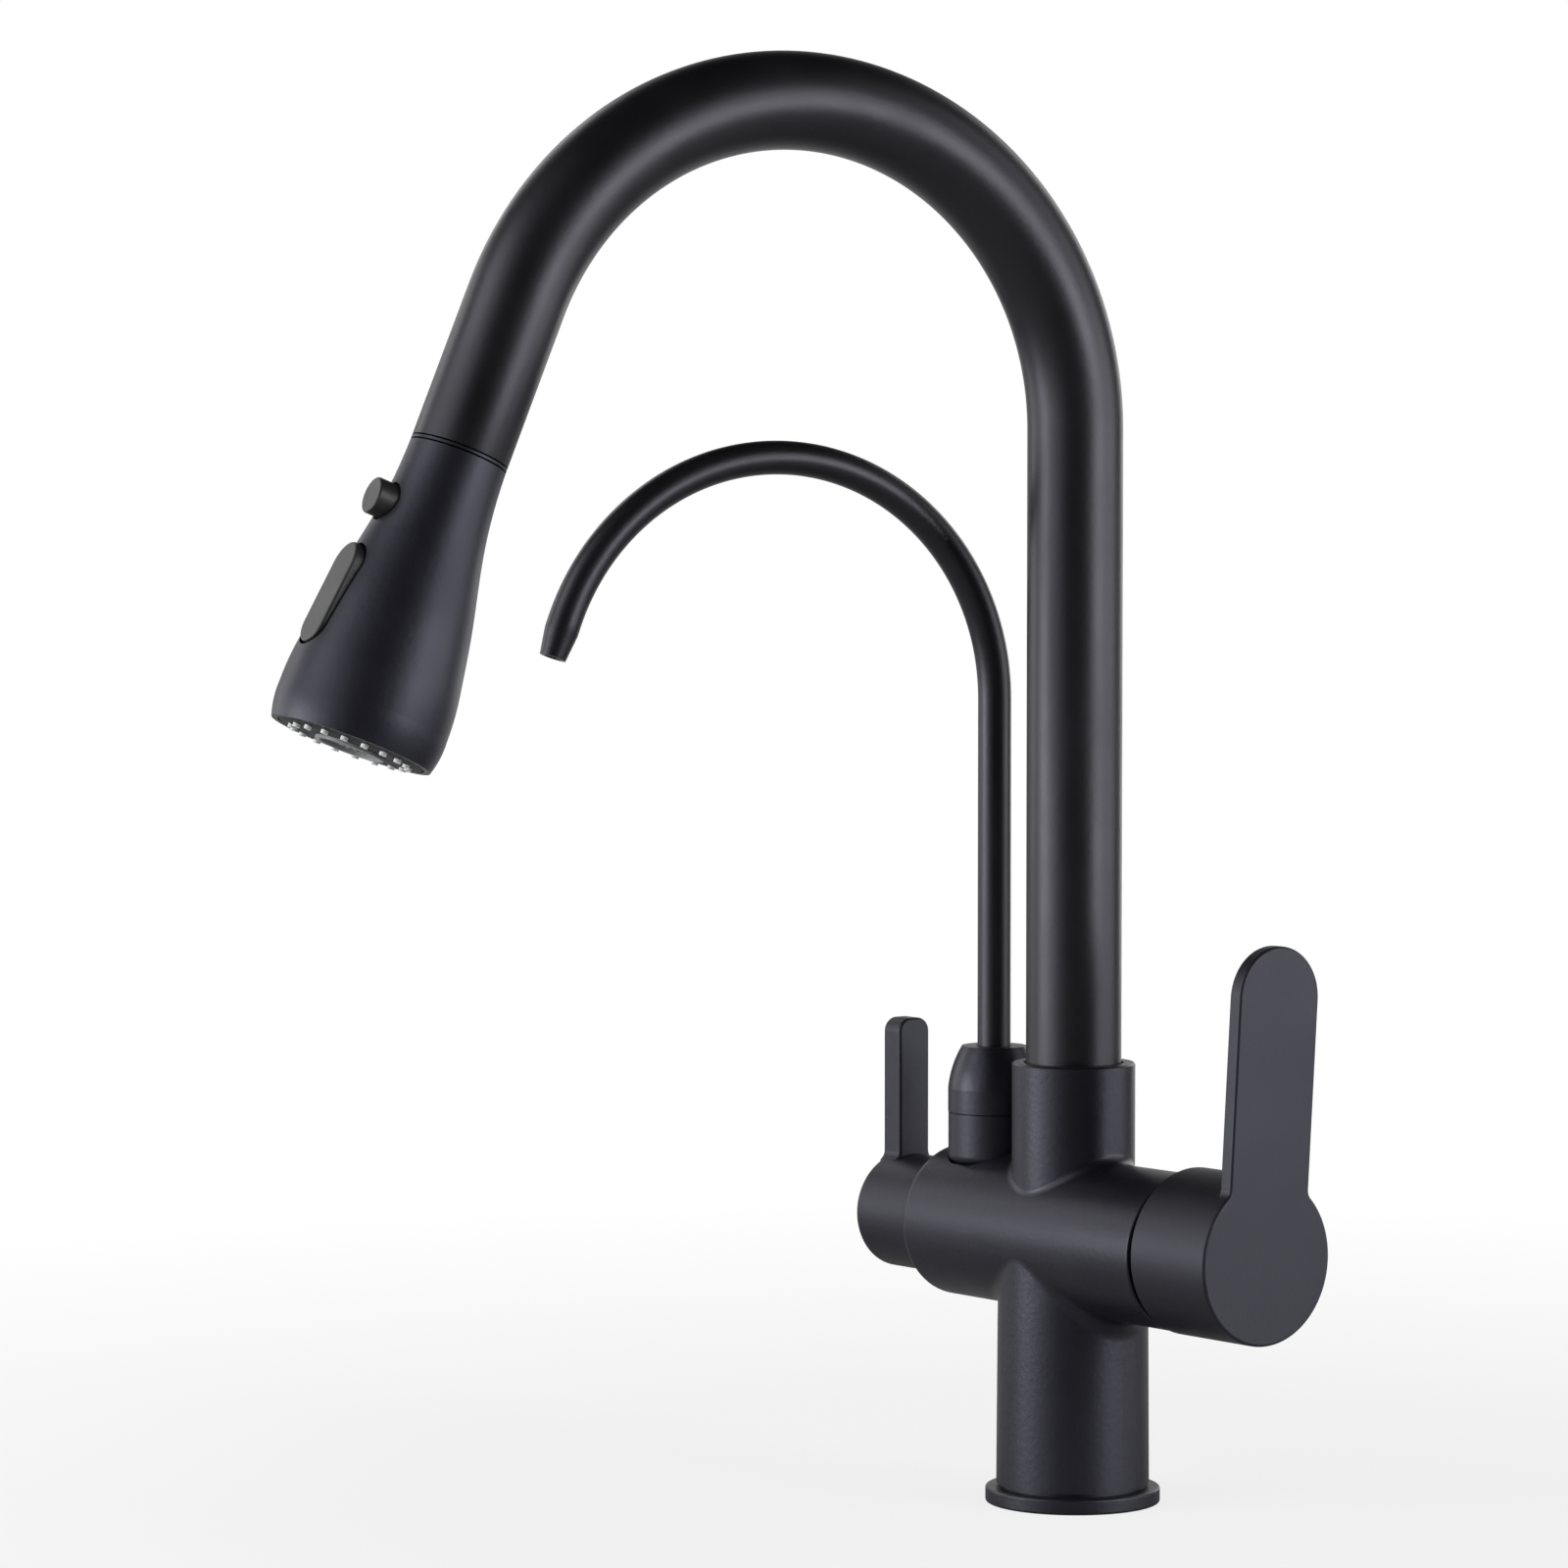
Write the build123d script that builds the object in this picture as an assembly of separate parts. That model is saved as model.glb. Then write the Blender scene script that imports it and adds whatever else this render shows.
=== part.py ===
from build123d import *
import math
import os

# Three-way kitchen faucet in millimetres. Z is up, the deck is z = 0 and the column stands on the origin.
# +X points at the big mixer lever, -X at the small filter lever, and -Y at the person who uses the sink.
# Both spouts are turned a little from straight ahead, towards the filter side.

# Clearances
running = 0.05  # radial, between a turning piece and its bearing
slip = 0.1  # radial, between a sliding or screwed piece and its seat
seam = 0.3  # open joint between two pieces
face_gap = 0.02  # lapped ceramic faces and stacked flat faces
past = 1.0  # a cut runs this far beyond the face that it opens

# Deck flange and column
flange_radius = 25.7
flange_height = 4.6
flange_bore = 17.5
flange_edge = 0.7
groove_height = 1.0
groove_depth = 1.3
spigot_height = 4.4
gasket_outer = 23.8
gasket_inner = 19.6
gasket_thickness = 1.2
column_foot_radius = 22.5
column_top_radius = 22.0
column_bore = 18.6
block_depth = 30.5  # from the cross body's axis down to the underside of the solid part, inside the column

# Cross body and collar
cross_height = 78.5
cross_radius = 22.7
cross_right = 50.0
cross_left = 53.3
cross_left_round = 3.0
cross_right_round = 0.8
collar_radius = 18.1
collar_rise = 51.2  # from the cross body's axis
collar_edge = 0.5
lower_blend = 6.0
upper_blend = 3.0

# Threaded sockets in the underside of the casting: two M8 studs and four M10 x 1 hose ports
stud_hole = 3.4
stud_depth = 20.0
stud_boss = 5.2
stud_circle = 12.8
stud_angle = 115.0
port_hole = 4.5
port_depth = 10.0
side_port_circle = 13.0
side_port_angle = 50.0
centre_port_circle = 13.0
side_riser = 3.2
channel = 2.4

# Mixer cartridge, measured along +X from the column axis
seat = 16.0
seal_wire = 0.8
seal_radius = 3.3
seal_stand = 0.6
cartridge_radius = 17.5
cartridge_room = 0.2
base_thickness = 3.0
inlet_rise = 6.5
inlet_spread = 8.6
outlet_drop = 7.0
disc_thickness = 3.35
fixed_disc_radius = 14.9
moving_disc_radius = 11.4
pocket_radius = 10.2
pocket_top = 3.6
pocket_depth = 1.6
driver_thickness = 3.2
housing_length = 15.2
housing_wall = 2.3
neck_length = 8.2
neck_radius = 14.2
neck_bore = 12.45
neck_lip = 0.6
neck_lip_width = 1.0
carrier_gap = 0.7
pivot_depth = 9.0
nut_radius = 18.5
nut_bore = 14.4
nut_length = 8.8
nut_notch = 3.0
dome_radius = 25.6
dome_wall = 1.4
dome_skirt = 2.5
dome_mouth = 15.0

# Mixer lever
lever_lean = 3.6  # degrees that the lever stands from upright, towards the back
lift_angle = 22.0  # degrees
hub_gap = 3.1
hub_radius = 24.1
hub_rise = 1.0  # of the hub's centre over the cartridge's axis
hub_wall = 2.3
hub_face = 83.8
hub_floor = 5.6
hub_edge = 0.9
lip_wall = 0.9
lip_taper = 2.5
boss_radius = 8.5
boss_clear = 2.0
stem_half = 3.6
stem_length = 37.0
stem_chamfer = 0.6
blade_thickness = 4.8
blade_width = 30.0
blade_reach = 89.4
blade_edge = 0.9
blade_root = 3.0
ball_radius = 2.4
ball_arm = 5.0
ball_neck = 1.8
barrel_radius = 3.6
barrel_half = 4.0
pin_radius = 1.5
grub_radius = 2.1
grub_socket = 1.25
grub_length = 6.8
grub_point = 0.95
grub_place = 32.0  # along the stem from the pivot
plug_radius = 3.0
plug_length = 1.7
plug_sink = 0.25
plug_edge = 0.3

# Filter valve, measured along -X from the column axis
filter_seat = 22.0
filter_chamber = 10.4
filter_rebate = 13.2
rebate_depth = 6.8
filter_seal_length = 2.6
filter_seal_radius = 8.4
filter_seal_bore = 4.0
headwork_radius = 9.0
headwork_bore = 6.2
headwork_cavity = 11.4
headwork_thread = 10.3
thread_length = 6.0
hex_radius = 12.6
hex_length = 5.0
gland_radius = 6.6
gland_length = 8.5
window_radius = 2.4
window_sink = 3.2
filter_disc = 6.1
filter_disc_thickness = 2.5
filter_port = 1.8
filter_port_offset = 2.9
spindle_head = 3.4
spindle_radius = 3.6
spindle_reach = 71.0
filter_gap = 0.6
filter_hub = 17.3
filter_hub_wall = 2.5
filter_face = 81.9
filter_hub_edge = 2.5
filter_hub_cavity = 70.0
filter_boss = 7.0
filter_boss_start = 61.0
small_blade_thickness = 8.0
small_blade_width = 11.6
small_blade_reach = 58.7
small_blade_corner = 4.2
small_blade_edge = 1.0
small_blade_root = 3.0
small_blade_flare = 1.2
small_grub_place = 66.0
small_grub_length = 4.6

# Filter riser, on its own axis through the cross body
filter_offset = 36.4
socket_radius = 13.6
socket_floor_rise = 18.4  # from the cross body's axis
socket_round = 2.5
socket_height = 15.0
socket_spigot = 8.5
socket_spigot_length = 6.9
socket_bore = 7.7
socket_bottom = 1.6
socket_passage = 4.0
socket_thread = 10.4
socket_thread_length = 6.1
bell_radius = 13.7
bell_straight = 7.0
bell_top_radius = 9.6
bell_height = 19.6
bell_bulge = 0.65
foot_length = 13.3
foot_neck = 3.6
foot_tube_depth = 2.3
small_seal_wire = 0.9
foot_groove_shares = (0.3, 0.62)  # of the foot's length

# Filter spout
filter_tube_radius = 4.95
filter_tube_wall = 0.9
filter_yaw = 12.6  # degrees from straight ahead, towards the filter side
filter_bend_height = 235.2
filter_bend = 71.6
filter_sweep = 160.0
filter_end = 3.0
tip_length = 8.0
tip_radius = 3.9
tip_bore = 2.6
tip_spigot = 2.8

# Main spout
spout_yaw = 10.6  # degrees from straight ahead, towards the filter side
tube_radius = 14.0
tube_wall = 1.5
spout_bore = 14.7
spout_bore_depth = 32.2
foot_radius = 14.62
foot_bore = 9.0
foot_rise = 12.0
spout_foot_length = 13.65
wear_washer = 0.8
seal_groove = 2.2
big_seal_wire = 1.0
keeper_rise = 3.85  # from the foot's underside
keeper_groove = 4.6
keeper_depth = 1.35
glide_sink = 1.7
glide_length = 4.0
bend_height = 314.8
bend_radius = 93.0
bend_sweep = 157.7
end_length = 45.4

# Pull-out hose and its end
hose_radius = 6.5
hose_bore = 4.0
hose_room = 0.7
hose_stop = 40.0  # all along the head's axis, back from the end of the spout
ferrule_stop = 32.0
ferrule_radius = 7.4
ferrule_flange = 7.9
ferrule_flange_length = 2.0
nut_back = 22.0
nut_front = 5.0
swivel_nut_radius = 9.6
swivel_nut_mouth = 8.35
swivel_nut_taper = 4.0
swivel_flats = 6
flat_sink = 0.5
flat_half = 2.4
flat_length = 8.0
nut_shoulder = 2.5
washer_thickness = 1.8
guide_length = 22.0
guide_bore = 10.0
guide_mouth = 11.9
guide_taper = 10.0

# Pull-out head, measured along its axis from the end of the spout
head_length = 87.0
neck_line = 0.5
neck_ring_length = 0.7
shell_wall = 1.8
neck_radius_outer = 14.0
waist = (26.0, 16.35)
flare = (47.0, 20.7)
shoulder = (62.0, 23.2)
belly = (77.0, 24.5)
rim_bulge = (82.6, 24.25)
rim_radius = 23.2
face_radius = 21.3
core_radius = 10.8
nipple_radius = 8.0
nipple_bore = 5.0
cone_length = 4.0
cone_small = 10.8
cone_big = 11.5
core_shoulder = 11.7
core_shoulder_length = 6.0
core_bore = 4.0
core_step = 1.0
check_valve_length = 9.0
check_valve_wall = 1.2
check_valve_room = 2.0
check_seat_bore = 1.9
check_seat_length = 2.0
poppet_radius = 3.0
poppet_stem = 1.5
poppet_length = 2.0
spider_half = 0.5
spider_length = 1.4
button_place = 21.0
button_radius = 5.3
button_gap = 0.6
button_top = 20.2
button_skirt = 11.2
button_flange = 6.0
flange_thickness = 0.8
button_travel = 2.0
button_edge = 0.6
plunger_radius = 3.2
plunger_waist = 2.0
plunger_foot = -5.5
button_pocket = 6.3
button_pocket_floor = 7.0
spring_wire = 0.5
spring_radius = 4.3
spring_turns = 4
rocker_place = 50.3
rocker_length = 31.0
rocker_width = 13.0
rocker_tilt = 6.5  # degrees between the rocker's face and the head's axis
rocker_face = 22.2
rocker_depth = 8.0
rocker_edge = 0.7
rocker_gap = 0.6
rocker_end_gap = 0.8
rocker_pivot = 16.0
rocker_pin_radius = 1.0
rocker_lug = 1.3
rocker_lug_place = 5.0  # from the middle of the rocker to a lug's inner face
rocker_lug_top = 1.8
rocker_lug_half = 2.4
rocker_lug_root = 3.2
rocker_lug_room = 0.7  # round a lug, for the tilt
rocker_web = 1.4
rocker_arm = 1.2
rocker_arm_sweep = 2.2
rocker_arm_gap = 0.5
rocker_arm_foot = 5.9
rocker_ball = 1.3
spool_radius = 5.9
spool_length = 12.0
spool_waist = 4.3
spool_slot = 1.4
spool_vent = 1.5
spool_room = 4.0
diffuser_radius = 20.6
diffuser_length = 4.6
diffuser_web = 1.2
diffuser_floor = 1.6
diffuser_channel = 2.0
mat_radius = 20.4
mat_thickness = 1.8
face_thickness = 3.4
face_dome = 0.6
face_edge = 0.4
nozzle_count = 18
nozzle_circle = 17.0
nozzle_radius = 1.35
nozzle_tip = 1.05
nozzle_bore = 0.47
nozzle_rise = 1.3
stream_radius = 10.1
stream_wall = 1.5
stream_rise = 1.5
stream_edge = 0.4
ledge_width = 1.0
ledge_thickness = 1.2
mesh_thickness = 0.8
mesh_sink = 1.2
mesh_hole = 0.8
mesh_pitch = 2.4

# Places that follow from the sizes above
column_foot = flange_height + groove_height
boss_foot = column_foot + spigot_height + seam
block_floor = cross_height - block_depth
collar_top = cross_height + collar_rise
hose_passage = hose_radius + hose_room
base_start = seat + seal_stand
base_end = base_start + base_thickness
fixed_start = base_end + face_gap
fixed_end = fixed_start + disc_thickness
moving_start = fixed_end + face_gap
moving_end = moving_start + disc_thickness
driver_end = moving_end + driver_thickness
housing_shoulder = base_end + housing_length
neck_end = housing_shoulder + neck_length
carrier_start = driver_end + carrier_gap
carrier_end = neck_end - neck_lip - slip
pivot = neck_end - pivot_depth
dome_rim = math.sqrt(dome_radius**2 - (cross_right - pivot) ** 2)
hub_start = cross_right + hub_gap
hub_underside = hub_radius - hub_rise
boss_start = pivot + dome_radius + boss_clear
stem_end = pivot + stem_length
grub_at = pivot + grub_place
filter_hub_start = cross_left + filter_gap
headwork_start = filter_seat + filter_seal_length
thread_start = cross_left - rebate_depth - thread_length
hex_start = cross_left - rebate_depth
filter_fixed_start = headwork_start + face_gap
filter_moving_start = filter_fixed_start + filter_disc_thickness + face_gap
filter_head_start = filter_moving_start + filter_disc_thickness
socket_floor = cross_height + socket_floor_rise
socket_top = socket_floor + socket_height
socket_spigot_low = socket_floor - socket_spigot_length
socket_bore_floor = socket_floor + socket_bottom
socket_thread_top = socket_top + socket_thread_length
bell_low = socket_top + seam
bell_top = bell_low + bell_height
foot_start = socket_bore_floor + slip
foot_top = foot_start + foot_length
tube_bore = tube_radius - tube_wall
filter_tube_bore = filter_tube_radius - filter_tube_wall
spout_bore_floor = collar_top - spout_bore_depth
spout_foot_floor = spout_bore_floor + wear_washer + running
spout_foot_top = spout_foot_floor + spout_foot_length
keeper_height = spout_foot_floor + keeper_rise
glide_high = collar_top - glide_sink
hose_low = boss_foot + seam
shell_start = 2 * neck_line + neck_ring_length
flange_back = -nut_back + nut_shoulder + slip
washer_low = flange_back + ferrule_flange_length + slip
core_start = washer_low + washer_thickness + slip
face_plane = head_length
face_back = face_plane - face_thickness
mat_back = face_back - face_gap - mat_thickness
diffuser_back = mat_back - face_gap - diffuser_length
core_end = diffuser_back - face_gap
spool_start = rocker_place - spool_length / 2


# A straight round bar between two heights on the Z axis, or beside it
def bar(radius, low, high, x=0.0, y=0.0):
    return Pos(x, y, low) * Cylinder(radius, high - low, align=(Align.CENTER, Align.CENTER, Align.MIN))


def ring(outer, inner, low, high, x=0.0, y=0.0):
    return bar(outer, low, high, x, y) - bar(inner, low, high, x, y)


# A block between two corners
def block(x, y, z):
    size = (x[1] - x[0], y[1] - y[0], z[1] - z[0])
    return Pos((x[0] + x[1]) / 2, (y[0] + y[1]) / 2, (z[0] + z[1]) / 2) * Box(*size)


# A closed outline of (radius, height) points, turned about Z
def lathe(*points):
    outline = Polyline(*[(radius, 0, height) for radius, height in points], close=True)
    return revolve(make_face(outline), Axis.Z)


def seal(radius, wire, height, x=0.0, y=0.0):
    return Pos(x, y, height) * Torus(radius, wire)


# A headless screw along Z with a hexagon socket in its upper end
def grub_screw(low, high):
    socket = Pos(0, 0, high) * extrude(RegularPolygon(grub_socket, 6), -grub_radius)
    point = grub_radius - grub_point
    body = lathe((0, low), (point, low), (grub_radius, low + grub_point), (grub_radius, high), (0, high))
    return body - socket


# The end of a bend that starts straight up: a plane across the tube, with Z along it
def bend_end(height, radius, sweep):
    turn = math.radians(sweep)
    place = (radius - radius * math.cos(turn), 0, height + radius * math.sin(turn))
    return Plane(place, x_dir=(-math.cos(turn), 0, math.sin(turn)), z_dir=(math.sin(turn), 0, math.cos(turn)))


# A riser, one bend towards +X and a straight end
def gooseneck(outer, inner, foot, height, radius, sweep, end):
    section = Circle(outer) - Circle(inner)
    riser = extrude(Pos(0, 0, foot) * section, height - foot)
    bend = revolve(Pos(0, 0, height) * section, Axis((radius, 0, height), (0, 1, 0)), sweep)
    straight = extrude(bend_end(height, radius, sweep).location * section, end)
    return riser + bend + straight


# Frames: local Z runs along the piece's own axis
mixer_side = Plane((0, 0, cross_height), x_dir=(0, 0, 1), z_dir=(1, 0, 0)).location
filter_side = Plane((0, 0, cross_height), x_dir=(0, 0, 1), z_dir=(-1, 0, 0)).location
lean = math.radians(lever_lean)
lever_side = Plane((0, 0, cross_height), x_dir=(0, math.sin(lean), math.cos(lean)), z_dir=(1, 0, 0)).location
spout_side = Rot(0, 0, -90 - spout_yaw)
filter_riser = Pos(-filter_offset, 0, 0)
filter_spout_side = filter_riser * Rot(0, 0, -90 - filter_yaw)
tube_end = bend_end(bend_height, bend_radius, bend_sweep).location * Pos(0, 0, end_length)
head_side = spout_side * tube_end
# Local Z of a radial frame points out of the head's upper side
radial = Plane((0, 0, 0), x_dir=(0, 0, 1), z_dir=(1, 0, 0)).location


# Casting: column, cross body and collar in one, with every bore and waterway cut from it
def valve_body():
    cross = mixer_side * bar(cross_radius, -cross_left, cross_right)
    ends = cross.edges().filter_by(GeomType.CIRCLE).sort_by(Axis.X)
    cross = fillet(ends[0], cross_left_round)
    ends = cross.edges().filter_by(GeomType.CIRCLE).sort_by(Axis.X)
    cross = fillet(ends[-1], cross_right_round)
    rise = cross_height - column_foot
    stem = Cone(column_foot_radius, column_top_radius, rise, align=(Align.CENTER, Align.CENTER, Align.MIN))
    body = cross + Pos(0, 0, column_foot) * stem
    joints = body.edges().filter_by(lambda edge: edge.geom_type not in (GeomType.LINE, GeomType.CIRCLE))
    body = fillet(joints, lower_blend)
    collar = bar(collar_radius, cross_height, collar_top)
    rim = collar.edges().filter_by(GeomType.CIRCLE).sort_by(Axis.Z)[-1]
    body = body + chamfer(rim, collar_edge)
    top_half = body.edges().filter_by_position(Axis.Z, cross_height + past, cross_height + cross_radius + past)
    joints = top_half.filter_by(lambda edge: edge.geom_type not in (GeomType.LINE, GeomType.CIRCLE))
    joints = joints.filter_by(lambda edge: abs(edge.center().X) < collar_radius)
    body = fillet(joints, upper_blend)
    cuts = [bar(column_bore, 0, block_floor), bar(hose_passage, 0, spout_bore_floor)]
    cuts.append(bar(spout_bore, spout_bore_floor, collar_top + past))
    cuts.append(mixer_side * bar(cartridge_radius + cartridge_room, seat, cross_right + past))
    cuts.append(mixer_side * bar(nut_radius + slip, housing_shoulder, cross_right + past))
    cuts.append(mixer_side * bar(dome_rim + slip, cross_right - dome_skirt, cross_right + past))
    cuts.append(filter_side * bar(filter_chamber, filter_seat, cross_left + past))
    cuts.append(filter_side * bar(filter_rebate, cross_left - rebate_depth, cross_left + past))
    cuts.append(filter_riser * bar(socket_radius + slip, socket_floor, collar_top))
    cuts.append(filter_riser * bar(socket_spigot + slip, socket_spigot_low - slip, socket_floor))
    cuts.append(filter_riser * bar(socket_passage, cross_height, socket_spigot_low))
    keeper_hole = bar(grub_radius + running, 0, cross_radius + collar_radius)
    cuts.append(Pos(0, 0, keeper_height) * Rot(-90, 0, 0) * keeper_hole)
    for casting_cut in cuts:
        body = body - casting_cut
    for sign in (-1, 1):
        turn = math.radians(stud_angle)
        x, y = stud_circle * math.cos(turn), sign * stud_circle * math.sin(turn)
        body = body + bar(stud_boss, boss_foot, block_floor + stud_boss, x, y)
        body = body - bar(stud_hole, boss_foot, boss_foot + stud_depth, x, y)
        turn = math.radians(side_port_angle)
        x, y = side_port_circle * math.cos(turn), sign * side_port_circle * math.sin(turn)
        inlet = cross_height + inlet_rise
        body = body - bar(port_hole, block_floor, block_floor + port_depth, x, y)
        body = body - bar(side_riser, block_floor, inlet + channel, x, y)
        body = body - mixer_side * bar(channel, x, seat + past, inlet_rise, -sign * inlet_spread)
    x = centre_port_circle
    outlet = cross_height - outlet_drop
    body = body - bar(port_hole, block_floor, block_floor + port_depth, x)
    body = body - bar(channel, block_floor, outlet, x)
    body = body - mixer_side * bar(channel, x, seat + past, -outlet_drop, 0)
    body = body - bar(port_hole, block_floor, block_floor + port_depth, -x)
    body = body - bar(channel, block_floor, cross_height, -x)
    return body - filter_side * bar(channel, x, filter_seat + past)


def base_flange():
    plate = bar(flange_radius, 0, flange_height)
    plate = fillet(plate.edges().filter_by(GeomType.CIRCLE), flange_edge)
    step = bar(column_foot_radius - groove_depth, flange_height, column_foot)
    spigot = bar(column_bore - slip, column_foot, column_foot + spigot_height)
    opening = bar(flange_bore, 0, column_foot + spigot_height)
    return plate + step + spigot - opening - ring(gasket_outer, gasket_inner, 0, gasket_thickness)


def deck_gasket():
    return ring(gasket_outer - slip, gasket_inner + slip, 0, gasket_thickness)


# The three ports of the cartridge: hot and cold above, mixed water below
def cartridge_ports():
    return [(inlet_rise, -inlet_spread), (inlet_rise, inlet_spread), (-outlet_drop, 0.0)]


def cartridge_base():
    plate = bar(cartridge_radius, base_start, base_end)
    half = seal_wire + slip
    for x, y in cartridge_ports():
        plate = plate - bar(channel, base_start, base_end, x, y)
        plate = plate - ring(seal_radius + half, seal_radius - half, base_start, seat + 2 * seal_wire, x, y)
    return mixer_side * plate


def cartridge_seals():
    return [mixer_side * seal(seal_radius, seal_wire, seat + seal_wire, x, y) for x, y in cartridge_ports()]


def fixed_ceramic_disc():
    disc = bar(fixed_disc_radius, fixed_start, fixed_end)
    for x, y in cartridge_ports():
        disc = disc - bar(channel, fixed_start, fixed_end, x, y)
    return mixer_side * disc


def moving_ceramic_disc():
    disc = bar(moving_disc_radius, moving_start, moving_end)
    pocket = bar(pocket_radius, moving_start, moving_start + pocket_depth)
    span = (-pocket_radius, pocket_radius)
    pocket = pocket & block((-pocket_radius, pocket_top), span, (moving_start, moving_start + pocket_depth))
    return lever_side * (disc - pocket)


def disc_driver():
    driver = ring(moving_disc_radius, ball_radius + slip, moving_end, driver_end)
    return lever_side * driver


def cartridge_housing():
    shell = bar(cartridge_radius, base_end, housing_shoulder) + bar(neck_radius, housing_shoulder, neck_end)
    room = bar(cartridge_radius - housing_wall, base_end, carrier_start)
    throat = bar(neck_bore, carrier_start, neck_end - neck_lip)
    return mixer_side * (shell - room - throat - bar(neck_bore - neck_lip_width, carrier_start, neck_end))


# Turns with the lever in the housing and carries the pin that the spindle rocks on
def swivel_carrier():
    carrier = bar(neck_bore - running, carrier_start, carrier_end)
    lift = math.radians(lift_angle)
    swing = (carrier_end - pivot) * math.tan(lift) + stem_half / math.cos(lift) + seam
    slot_half = barrel_half + slip
    up = ball_arm * math.sin(lift) + ball_radius + seam
    slot = block((-swing - slip, up), (-slot_half, slot_half), (carrier_start, carrier_end))
    pin = Pos(0, 0, pivot) * Rot(90, 0, 0) * Cylinder(pin_radius + face_gap, 2 * neck_bore)
    return lever_side * (carrier - slot - pin)


def spindle_pin():
    length = 2 * math.sqrt((neck_bore - running) ** 2 - pin_radius**2) - seam
    return lever_side * Pos(0, 0, pivot) * Rot(90, 0, 0) * Cylinder(pin_radius, length)


def lever_spindle():
    ball = Pos(0, 0, pivot - ball_arm) * Sphere(ball_radius)
    neck = bar(ball_neck, pivot - ball_arm, pivot)
    barrel = Pos(0, 0, pivot) * Rot(90, 0, 0) * Cylinder(barrel_radius, 2 * barrel_half)
    stem = block((-stem_half, stem_half), (-stem_half, stem_half), (pivot, stem_end))
    stem = chamfer(stem.faces().sort_by(Axis.Z)[-1].edges(), stem_chamfer)
    hole = Pos(0, 0, pivot) * Rot(90, 0, 0) * Cylinder(pin_radius + running, 4 * barrel_half)
    return lever_side * (ball + neck + barrel + stem - hole)


def cartridge_nut():
    nut = ring(nut_radius, nut_bore, housing_shoulder, housing_shoulder + nut_length)
    end = housing_shoulder + nut_length
    for turn in range(4):
        width = (-nut_notch / 2, nut_notch / 2)
        notch = block((nut_bore - past, nut_radius + past), width, (end - nut_notch, end + past))
        nut = nut - Rot(0, 0, 90 * turn) * notch
    return mixer_side * nut


# Domed ring that closes the body round the spindle and shows as the dark joint behind the lever's hub
def cover_dome():
    centre = Pos(0, 0, pivot)
    top = pivot + dome_radius
    dome = centre * Sphere(dome_radius) - centre * Sphere(dome_radius - dome_wall)
    dome = (dome & bar(dome_radius, cross_right - slip, top)) - bar(dome_mouth, cross_right, top)
    skirt = ring(dome_rim, dome_rim - dome_wall, cross_right - dome_skirt, cross_right)
    return mixer_side * (dome + skirt)


# A round hub with a blade whose end corners are rounded, and a fillet in each corner where they meet
def lever_outline(hub, reach, width, end_corner, root):
    blade = Rectangle(reach, width, align=(Align.MIN, Align.CENTER))
    blade = fillet(blade.vertices().group_by(Axis.X)[-1], end_corner)
    outline = Circle(hub) + blade
    corner = math.sqrt(hub**2 - width**2 / 4)
    return fillet(outline.vertices().filter_by(lambda point: abs(point.X - corner) < running), root)


# Hub, end disc and blade in one casting
def mixer_lever():
    blade_back = hub_face - blade_thickness
    outline = lever_outline(hub_radius, blade_reach, blade_width, blade_width / 2 - face_gap, blade_root)
    plate = Pos(hub_rise, 0, blade_back) * extrude(outline, blade_thickness)
    plate = fillet(plate.faces().sort_by(Axis.Z)[-1].edges(), hub_edge)
    plate = fillet(plate.faces().sort_by(Axis.Z)[0].edges(), blade_edge)
    lever = plate + bar(hub_radius, hub_start, hub_face - hub_edge, hub_rise)
    lip = hub_start + lip_taper
    inner = hub_radius - hub_wall
    room = lathe(
        (0, hub_start), (hub_radius - lip_wall, hub_start), (inner, lip), (inner, hub_face - hub_floor),
        (0, hub_face - hub_floor),
    )
    boss = bar(boss_radius, boss_start, hub_face - hub_floor + past)
    half = stem_half + running
    socket = block((-half, half), (-half, half), (boss_start, stem_end + seam))
    lever = lever - Pos(hub_rise, 0, 0) * room + boss - socket
    grub_hole = Pos(0, 0, grub_at) * Rot(0, -90, 0) * bar(grub_radius + face_gap, 0, boss_radius + past)
    plug_hole = bar(plug_radius, hub_underside - hub_wall - past, hub_underside + past)
    plug_hole = Pos(0, 0, grub_at) * Rot(0, -90, 0) * plug_hole
    return lever_side * (lever - grub_hole - plug_hole)


def lever_grub_screw():
    screw = grub_screw(stem_half + 2 * running, stem_half + grub_length)
    return lever_side * Pos(0, 0, grub_at) * Rot(0, -90, 0) * screw


def screw_cover():
    top = hub_underside - plug_sink
    cap = bar(plug_radius - face_gap, top - plug_length, top)
    cap = fillet(cap.edges().filter_by(GeomType.CIRCLE).sort_by(Axis.Z)[-1], plug_edge)
    return lever_side * Pos(0, 0, grub_at) * Rot(0, -90, 0) * cap


def filter_headwork():
    body = bar(headwork_radius, headwork_start, thread_start)
    body = body + bar(headwork_thread, thread_start, hex_start)
    body = body + Pos(0, 0, hex_start) * extrude(RegularPolygon(hex_radius, 6), hex_length)
    gland_end = hex_start + hex_length + gland_length
    body = body + bar(gland_radius, hex_start + hex_length, gland_end)
    body = body - bar(headwork_bore, headwork_start, headwork_start + headwork_cavity)
    body = body - bar(spindle_radius + running, headwork_start, gland_end)
    window = headwork_start + headwork_cavity - window_sink
    port = Pos(0, 0, window) * Rot(0, 90, 0) * Cylinder(window_radius, 4 * headwork_radius)
    return filter_side * (body - port)


def filter_seat_seal():
    low = filter_seat + face_gap
    return filter_side * ring(filter_seal_radius, filter_seal_bore, low, headwork_start - face_gap)


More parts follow.
